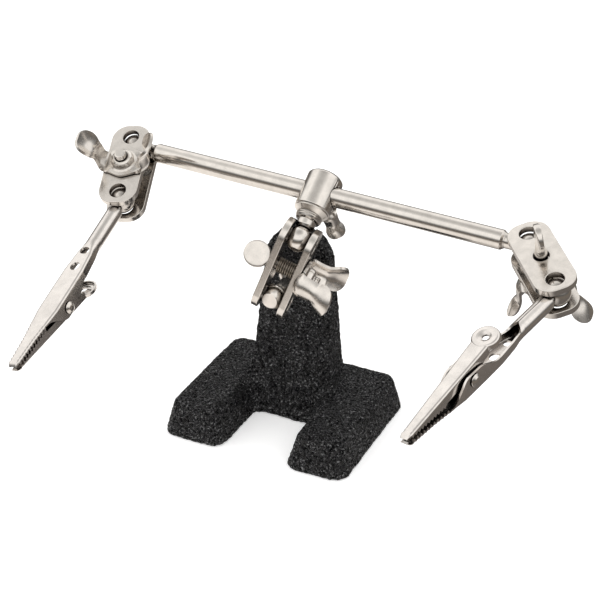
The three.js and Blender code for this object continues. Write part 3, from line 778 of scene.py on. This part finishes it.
def holder_screw():
    head = wing_head(bore=False)
    seat = BARREL["radius"] + 1.6
    move(head, Matrix.Translation((0, 0, seat)) @ Matrix.Scale(SCREW_SCALE, 4))
    start = ROD + 0.35
    stations = [start, start + 0.25] + list(np.arange(start + 0.3, seat + 0.8, BOLT["pitch"] / 10))
    rows = []
    for z in stations:
        row = []
        for k in range(48):
            a = 2 * math.pi * k / 48
            r = threaded(BOLT["radius"], z, a, BOLT["pitch"], start) - (0.3 if z == start else 0.0)
            row.append((r * math.cos(a), r * math.sin(a), z))
        rows.append(row)
    union(head, grid("shank", rows, close_across=True, cap=True))
    screw_frame = local_frame(HOLDER_CENTRE, axis("holder_screw_turn"), HOLDER_UP)
    turned = screw_frame @ Matrix.Rotation(WING_TURN["screw"], 4, "Z")
    finish_piece(head, "holder_screw", turned, SHEET, "holder_screw", angle=42)


def cross_rod():
    shoulder = ROD_REACH - 7.2
    end = ROD_REACH - NECK_END
    half = [
        (ROD, shoulder - 0.7, 0.5), (NECK + 0.2, shoulder, 0.2), (NECK, shoulder + 0.5, 0.3),
        (NECK, end, 0.1), (SPIGOT, end), (SPIGOT, ROD_REACH - SPIGOT_END), (0, ROD_REACH - SPIGOT_END),
    ]
    mirrored = [(p[0], -p[1]) + tuple(p[2:]) for p in reversed(half)]
    body = lathe("rod", mirrored + half, 72)
    finish_piece(body, "cross_rod", local_frame(ROD_MIDDLE, ROD_ALONG, (0, 0, 1)), ROD_NICKEL, "cross_rod")


# ------------------------------------------------------------------ alligator clip
def jaw_stations(start):
    """Places along a jaw, close together, with one at each tooth root and tip."""
    pitch = (TEETH["end"] - TEETH["start"]) / TEETH["count"]
    places = set(np.round(np.arange(start, TEETH["start"] - 0.3, 0.45), 4))
    for k in range(TEETH["count"]):
        z = TEETH["start"] + pitch * k
        places.update(np.round([z, z + pitch * 0.25, z + pitch * 0.5, z + pitch * 0.75], 4))
    places.update(np.round(np.linspace(TEETH["end"], CLIP["length"], 7), 4))
    return sorted(places)


def tooth(z):
    """How far a saw edge has risen at z, from 0 at a root to 1 at a tip."""
    if z < TEETH["start"] or z > TEETH["end"]:
        return 0.0
    pitch = (TEETH["end"] - TEETH["start"]) / TEETH["count"]
    phase = ((z - TEETH["start"]) / pitch) % 1.0
    return 1 - abs(2 * phase - 1)


def channel_section(half, floor, edge, corner, count=9):
    """U-shaped section from one wall's edge round the floor to the other's. edge and floor are heights."""
    sign = 1 if edge > floor else -1
    corner = min(corner, half * 0.6, abs(edge - floor) * 0.8)
    wall = np.linspace(edge, floor + sign * corner, count)
    points = [(-half, y) for y in wall]
    points += [(-half + corner - corner * math.cos(a), floor + sign * (corner - corner * math.sin(a)))
               for a in np.linspace(0, math.pi / 2, 7)[1:]]
    points += [(x, floor) for x in np.linspace(-half + corner, half - corner, count)[1:-1]]
    points += [(-x, y) for x, y in reversed(points[:count + 6])]
    return points


# half widths and wall edges of the jaws as (place along the clip, size)
FIXED_HALF = [
    (17, 2.1), (21, 2.55), (29, 3.4), (36, 3.5), (44.5, 3.5), (49.5, 2.85), (55, 2.15), (63, 1.65),
    (64.4, 1.25),
]
FIXED_EDGE = [(17, 0.9), (30, 1.1), (37.6, 3.75), (42.0, 3.8), (49.0, -0.8)]


def fixed_jaw_rows():
    web, tube = CLIP["web"], CLIP["tube"]
    length, jaw_start = CLIP["length"], CLIP["jaw_start"]
    rows = []
    along_tube = np.round(np.arange(CLIP["tube_start"], jaw_start, 0.8), 4)
    stations = sorted(set(along_tube) | set(jaw_stations(jaw_start)))
    for z in stations:
        z_here = max(z, jaw_start)
        half = straight_through(FIXED_HALF, z_here)
        edge = blend_through(FIXED_EDGE, z_here) if z < TEETH["start"] - 0.3 else -1.05 + 0.85 * tooth(z)
        nose = max(0.0, z - (length - 1.4)) / 1.4
        floor = web + 0.75 * nose * nose
        edge = max(edge, floor + 0.35)
        section = channel_section(half, floor, edge, 0.85)
        count = len(section)
        wrap = math.pi - 0.05 - 1.15 * ease((z - 16.6) / 3.0)
        ring = [(tube * math.sin(a), -tube * math.cos(a)) for a in np.linspace(-wrap, wrap, count)]
        share = ease((z - 17.6) / 5.5)
        rows.append([
            (rx + (sx - rx) * share, ry + (sy - ry) * share, z) for (rx, ry), (sx, sy) in zip(ring, section)
        ])
    return rows


def rounded_slot(half_x, half_z, place, through=3.0):
    """Cutter for a slot through the web, long along X."""
    r = half_z
    half_turn = np.linspace(-math.pi / 2, math.pi / 2, 9)
    outline = [(half_x - r + r * math.cos(a), r * math.sin(a)) for a in half_turn]
    outline += [(-half_x + r - r * math.cos(a), r * math.sin(a)) for a in half_turn[::-1]]
    rows = [[(x, y, z) for x, z in outline] for y in (place[1] - through / 2, place[1] + through / 2)]
    return move(grid("slot", rows, close_across=True, cap=True), Matrix.Translation((0, 0, place[2])))


def fixed_jaw(name, matrix, body):
    jaw = grid("jaw", fixed_jaw_rows())
    thicken_inwards(jaw, CLIP["sheet"], Vector((0, 0, 55)))
    web = CLIP["web"]
    cut(jaw, pin_along((0, 1, 0), 1.5, -3, 2, (0, web, 27.9)))
    cut(jaw, rounded_slot(1.55, 1.2, (0, web - 0.6, 21.9), 2.6))
    cut(jaw, pin_along((1, 0, 0), CLIP["rivet"] + 0.1, -8, 8, (0, CLIP["pivot_y"], CLIP["pivot_z"])))
    ease_edges(jaw, 0.1, 55)
    finish_piece(jaw, name, matrix, CLIP_NICKEL, body, angle=40)


def thicken_inwards(obj, thickness, inside):
    """Gives a bent sheet its thickness on the side that faces a point inside the channel."""
    mesh = obj.data
    face = min(mesh.polygons, key=lambda p: (p.center - inside).length)
    offset = -1 if face.normal.dot(inside - face.center) < 0 else 1
    solidify = obj.modifiers.new("sheet", "SOLIDIFY")
    solidify.thickness = thickness
    solidify.offset = offset
    solidify.use_even_offset = False
    bake(obj)
    return weld(obj)


JAW_TIP_Y = 1.0
JAW_SLOPE = (CLIP["pad_y"] - JAW_TIP_Y) / (CLIP["length"] - CLIP["pad_z"])
MOVING_HALF = [(30, 2.65), (36, 2.5), (50, 1.95), (63.2, 1.45), (64.4, 1.05)]


def jaw_back(z):
    return CLIP["pad_y"] - JAW_SLOPE * (z - CLIP["pad_z"])


def moving_jaw_rows():
    start = CLIP["pad_z"] + 1.6
    length = CLIP["length"]
    ear = [
        (start, jaw_back(start) - 2.3), (34.0, jaw_back(34.0) - 2.7), (38.8, 0.1), (42.4, 0.1),
        (45.8, 1.6), (49.5, 1.1),
    ]
    rows = []
    for z in jaw_stations(start):
        half = straight_through(MOVING_HALF, z)
        floor = jaw_back(z)
        edge = blend_through(ear, z) if z < TEETH["start"] - 0.3 else 0.75 - 0.7 * tooth(z)
        nose = max(0.0, z - (length - 1.2)) / 1.2
        floor -= 0.35 * nose * nose
        edge = min(edge, floor - 0.25)
        rows.append([(x, y, z) for x, y in channel_section(half, floor, edge, 0.75)])
    return rows


def finger_pad():
    """Round pad with a turned-down rim and a dimpled hole, on z = 0, its face up."""
    r, sheet = CLIP["pad"], 0.6
    return lathe("pad", [
        (0.95, -0.55), (1.7, -0.12, 0.3), (2.3, 0.0, 0.6), (r - 0.3, 0.0, 0.75), (r, -1.5, 0.15),
        (r - sheet, -1.5, 0.1), (r - sheet, -sheet - 0.1, 0.2), (2.2, -sheet, 0.4),
        (1.5, -sheet - 0.25, 0.2), (0.95, -sheet - 0.5),
    ], 72, closed=True)


def moving_jaw(name, matrix, body):
    jaw = grid("jaw", moving_jaw_rows())
    thicken_inwards(jaw, CLIP["sheet"], Vector((0, 1.2, 55)))
    pitch = math.atan(JAW_SLOPE)
    # the pad's face points along +Y and leans with the jaw's back
    tilt = Matrix.Rotation(-math.pi / 2 + pitch, 4, "X")
    place = Matrix.Translation((0, CLIP["pad_y"] + 0.03, CLIP["pad_z"]))
    cut(jaw, pin_along((0, 1, 0), CLIP["pad"] - 0.45, -4, 6, (0, CLIP["pad_y"], CLIP["pad_z"])))
    union(jaw, move(finger_pad(), place @ tilt))
    cut(jaw, pin_along((1, 0, 0), CLIP["rivet"] + 0.1, -8, 8, (0, CLIP["pivot_y"], CLIP["pivot_z"])))
    ease_edges(jaw, 0.08, 55)
    finish_piece(jaw, name, matrix, CLIP_NICKEL, body, angle=40)


def jaw_rivet(name, matrix, body):
    half = CLIP["half"] + 0.3
    head, shank = 1.75, CLIP["rivet"]
    body_mesh = lathe("rivet", [
        (0, -half - 0.72), (0.9, -half - 0.62, 0.5), (head, -half - 0.1, 0.15), (head, -half), (shank, -half),
        (shank, half), (head, half), (head, half + 0.1, 0.15), (0.9, half + 0.62, 0.5), (0, half + 0.72),
    ], 48)
    turn = Matrix.Translation((0, CLIP["pivot_y"], CLIP["pivot_z"])) @ Matrix.Rotation(math.pi / 2, 4, "Y")
    finish_piece(body_mesh, name, matrix @ turn, TURNED, body)


def jaw_spring(name, matrix, body):
    turns, radius, width, wire = 3.25, 1.7, 2.4, 0.3
    points = []
    for k in range(118):
        s = k / 117
        a = 2 * math.pi * turns * s
        points.append((width * (s - 0.5), -radius * math.sin(a), radius * math.cos(a)))
    last = points[-1]
    points += [(last[0], last[1], last[2] - step) for step in np.linspace(0.3, 4.5, 12)]
    place = Matrix.Translation((0, CLIP["pivot_y"], CLIP["pivot_z"]))
    finish_piece(sweep("spring", points, wire), name, matrix @ place, STEEL, body)


def clip_stem(name, matrix, body):
    stem = lathe("stem", [
        (0, SPIGOT_END), (SPIGOT, SPIGOT_END), (SPIGOT, BALL - 0.6), (1.58, BALL - 0.5, 0.05),
        (1.58, 15.8, 0.5), (0.9, 16.6, 0.3), (0, 16.6),
    ], 48)
    finish_piece(stem, name, matrix, TURNED, body)


def arm(side, nut, fixed, loose):
    """Everything from one end ball of the rod to the clip's jaws."""
    rod_ball, clip_ball = at(f"{side}_roll"), at(f"{side}_clip_swing")
    outward = (rod_ball - ROD_MIDDLE).normalized()
    ball(f"{side}_rod_ball", local_frame(rod_ball, outward, (0, 0, 1)), f"{side}_rod_ball")
    bodies = {"clamp": f"{side}_clamp", "loose": f"{side}_loose_plate", "nut": f"{side}_wing_nut"}
    names = {"front": f"{side}_plate_front", "back": f"{side}_plate_back"}
    clamp(side, (rod_ball + clip_ball) / 2, axis(f"{side}_swing"), rod_ball - clip_ball, nut, fixed, loose,
          names, bodies)
    along = axis(f"{side}_clip_twist")
    across = -axis(f"{side}_jaw_open")
    clip_frame = local_frame(clip_ball, along, along.cross(across))
    back_turned = clip_frame @ Matrix.Rotation(math.pi, 4, "Y")
    ball(f"{side}_clip_ball", back_turned, f"{side}_clip_ball")
    body = f"{side}_clip"
    clip_stem(f"{side}_clip_stem", clip_frame, body)
    fixed_jaw(f"{side}_fixed_jaw", clip_frame, body)
    jaw_rivet(f"{side}_jaw_rivet", clip_frame, body)
    jaw_spring(f"{side}_jaw_spring", clip_frame, body)
    moving_jaw(f"{side}_moving_jaw", clip_frame, f"{side}_moving_jaw")


# ------------------------------------------------------------------ the object
base_casting()
base_stud()
ball("stud_ball", local_frame(STUD_BALL, (0, -1, 0), (0, 0, 1)), "stud_ball", 2.3)
clamp(
    "center", (STUD_BALL + UPPER_BALL) / 2, STACK_NORMAL, STACK_UP, 1, "left", "right",
    {"left": "center_plate_left", "right": "center_plate_right"},
    {"clamp": "center_clamp", "loose": "center_loose_plate", "nut": "center_wing_nut"},
)
ball("holder_ball", local_frame(UPPER_BALL, -HOLDER_UP, (1, 0, 0)), "holder_ball")
rod_holder()
holder_screw()
cross_rod()
arm("left", -1, "back", "front")
arm("right", 1, "front", "back")


# ------------------------------------------------------------------ floor, light and camera
# the sky as (height from 0 below to 1 overhead, brightness) that metal reflects
SKY = [
    (0.0, 0.6), (0.46, 0.14), (0.55, 0.14), (0.62, 0.42), (0.70, 1.08), (0.90, 1.15), (0.965, 0.7),
    (1.0, 0.5),
]
# angles in degrees, target and distance in millimetres
CAMERA = {
    "azimuth": 25.37, "elevation": 29.4, "roll": 0.2, "target_x": 4.34, "target_z": 42.1,
    "distance": 435.5, "lens": 90, "sensor": 36,
}


def floor():
    half = 3.0
    corners = [(-half, -half, 0), (half, -half, 0), (half, half, 0), (-half, half, 0)]
    obj = new_object("floor", corners, [(0, 1, 2, 3)])
    move(obj, Matrix.Translation((0, 0, -0.0002)))
    m = Nodes("floor_white")
    path = m.add("ShaderNodeLightPath")
    place = m.add("ShaderNodeNewGeometry").outputs["Position"]
    away = m.add("ShaderNodeVectorMath", {0: place}, operation="LENGTH").outputs["Value"]
    # painted reflection: glossy rays see the floor dark to the right and back and further out, so the metal
    # reflects a dark surround; other rays see it white
    right_back = m.add(
        "ShaderNodeVectorMath", {0: place, 1: (0.8, 0.6, 0.0)}, operation="DOT_PRODUCT",
    ).outputs["Value"]
    near = m.mix(m.spread(right_back, 0.0, 1.0, 0.01, 0.07), (0.90, 0.86, 0.82, 1), (0.13, 0.12, 0.115, 1))
    painted_reflection = m.mix(m.spread(away, 0.0, 1.0, 0.12, 0.30), near, (0.16, 0.14, 0.12, 1))
    colour = m.mix(path.outputs["Is Glossy Ray"], (0.93, 0.93, 0.93, 1), painted_reflection)
    m.set(Base_Color=colour, Roughness=0.9, Specular_IOR_Level=0.0, Emission_Color=(1, 1, 1, 1))
    m.set(Emission_Strength=m.spread(path.outputs["Is Camera Ray"], 0.0, 0.28, 0.0, 1.0))
    obj.data.materials.append(m.material)


def world():
    """White studio surround, with a dusky band at the horizon that the bright metal reflects."""
    made = bpy.data.worlds.new("studio")
    made.use_nodes = True
    tree = made.node_tree
    background = tree.nodes["Background"]
    place = tree.nodes.new("ShaderNodeTexCoord")
    split = tree.nodes.new("ShaderNodeSeparateXYZ")
    ramp = tree.nodes.new("ShaderNodeValToRGB")
    lift = tree.nodes.new("ShaderNodeMapRange")
    path = tree.nodes.new("ShaderNodeLightPath")
    choose = tree.nodes.new("ShaderNodeMix")
    choose.data_type = "RGBA"
    lift.inputs["From Min"].default_value = -1.0
    lift.inputs["From Max"].default_value = 1.0
    elements = ramp.color_ramp.elements
    elements[0].position = 0.0
    elements[1].position = 1.0
    for position, _ in SKY[1:-1]:
        elements.new(position)
    for element, (position, level) in zip(elements, SKY):
        element.position = position
        element.color = (level, level * 0.985, level * 0.96, 1)
    tree.links.new(place.outputs["Generated"], split.inputs[0])
    tree.links.new(split.outputs["Z"], lift.inputs["Value"])
    tree.links.new(lift.outputs["Result"], ramp.inputs["Fac"])
    tree.links.new(path.outputs["Is Glossy Ray"], choose.inputs[0])
    tree.links.new(ramp.outputs["Color"], choose.inputs[7])
    choose.inputs[6].default_value = (1, 1, 1, 1)
    tree.links.new(choose.outputs[2], background.inputs["Color"])
    background.inputs["Strength"].default_value = 1.0
    bpy.context.scene.world = made


def area_light(name, place, size, power, target=(0.0, 0.0, 0.04)):
    data = bpy.data.lights.new(name, "AREA")
    data.shape = "RECTANGLE"
    data.size, data.size_y = size
    data.energy = power
    data.color = (1.0, 0.985, 0.96)
    obj = bpy.data.objects.new(name, data)
    bpy.context.scene.collection.objects.link(obj)
    obj.location = place
    obj.rotation_euler = (Vector(target) - Vector(place)).to_track_quat("-Z", "Y").to_euler()
    obj.visible_glossy = False


def camera():
    azimuth, elevation, roll = (math.radians(CAMERA[key]) for key in ("azimuth", "elevation", "roll"))
    target = Vector((CAMERA["target_x"] + UPRIGHT["x"], 0, CAMERA["target_z"])) * MM
    level = math.cos(elevation)
    back = Vector((math.sin(azimuth) * level, -math.cos(azimuth) * level, math.sin(elevation)))
    data = bpy.data.cameras.new("camera")
    data.lens = CAMERA["lens"]
    data.sensor_width = CAMERA["sensor"]
    data.clip_start = 0.01
    obj = bpy.data.objects.new("camera", data)
    bpy.context.scene.collection.objects.link(obj)
    right = Vector((math.cos(azimuth), math.sin(azimuth), 0))
    up = back.cross(right)
    rolled_right = math.cos(roll) * right + math.sin(roll) * up
    rolled_up = -math.sin(roll) * right + math.cos(roll) * up
    turn = Matrix((rolled_right, rolled_up, back)).transposed().to_4x4()
    obj.matrix_world = Matrix.Translation(target + back * CAMERA["distance"] * MM) @ turn
    bpy.context.scene.camera = obj


floor()
world()
area_light("key", (-0.62, -0.42, 0.55), (0.9, 0.8), 2.4)
area_light("fill", (0.65, -0.45, 0.45), (0.6, 0.5), 1.0)
area_light("rim", (0.1, 0.7, 0.5), (0.8, 0.3), 0.8)
camera()
bpy.context.scene.view_settings.view_transform = "Standard"
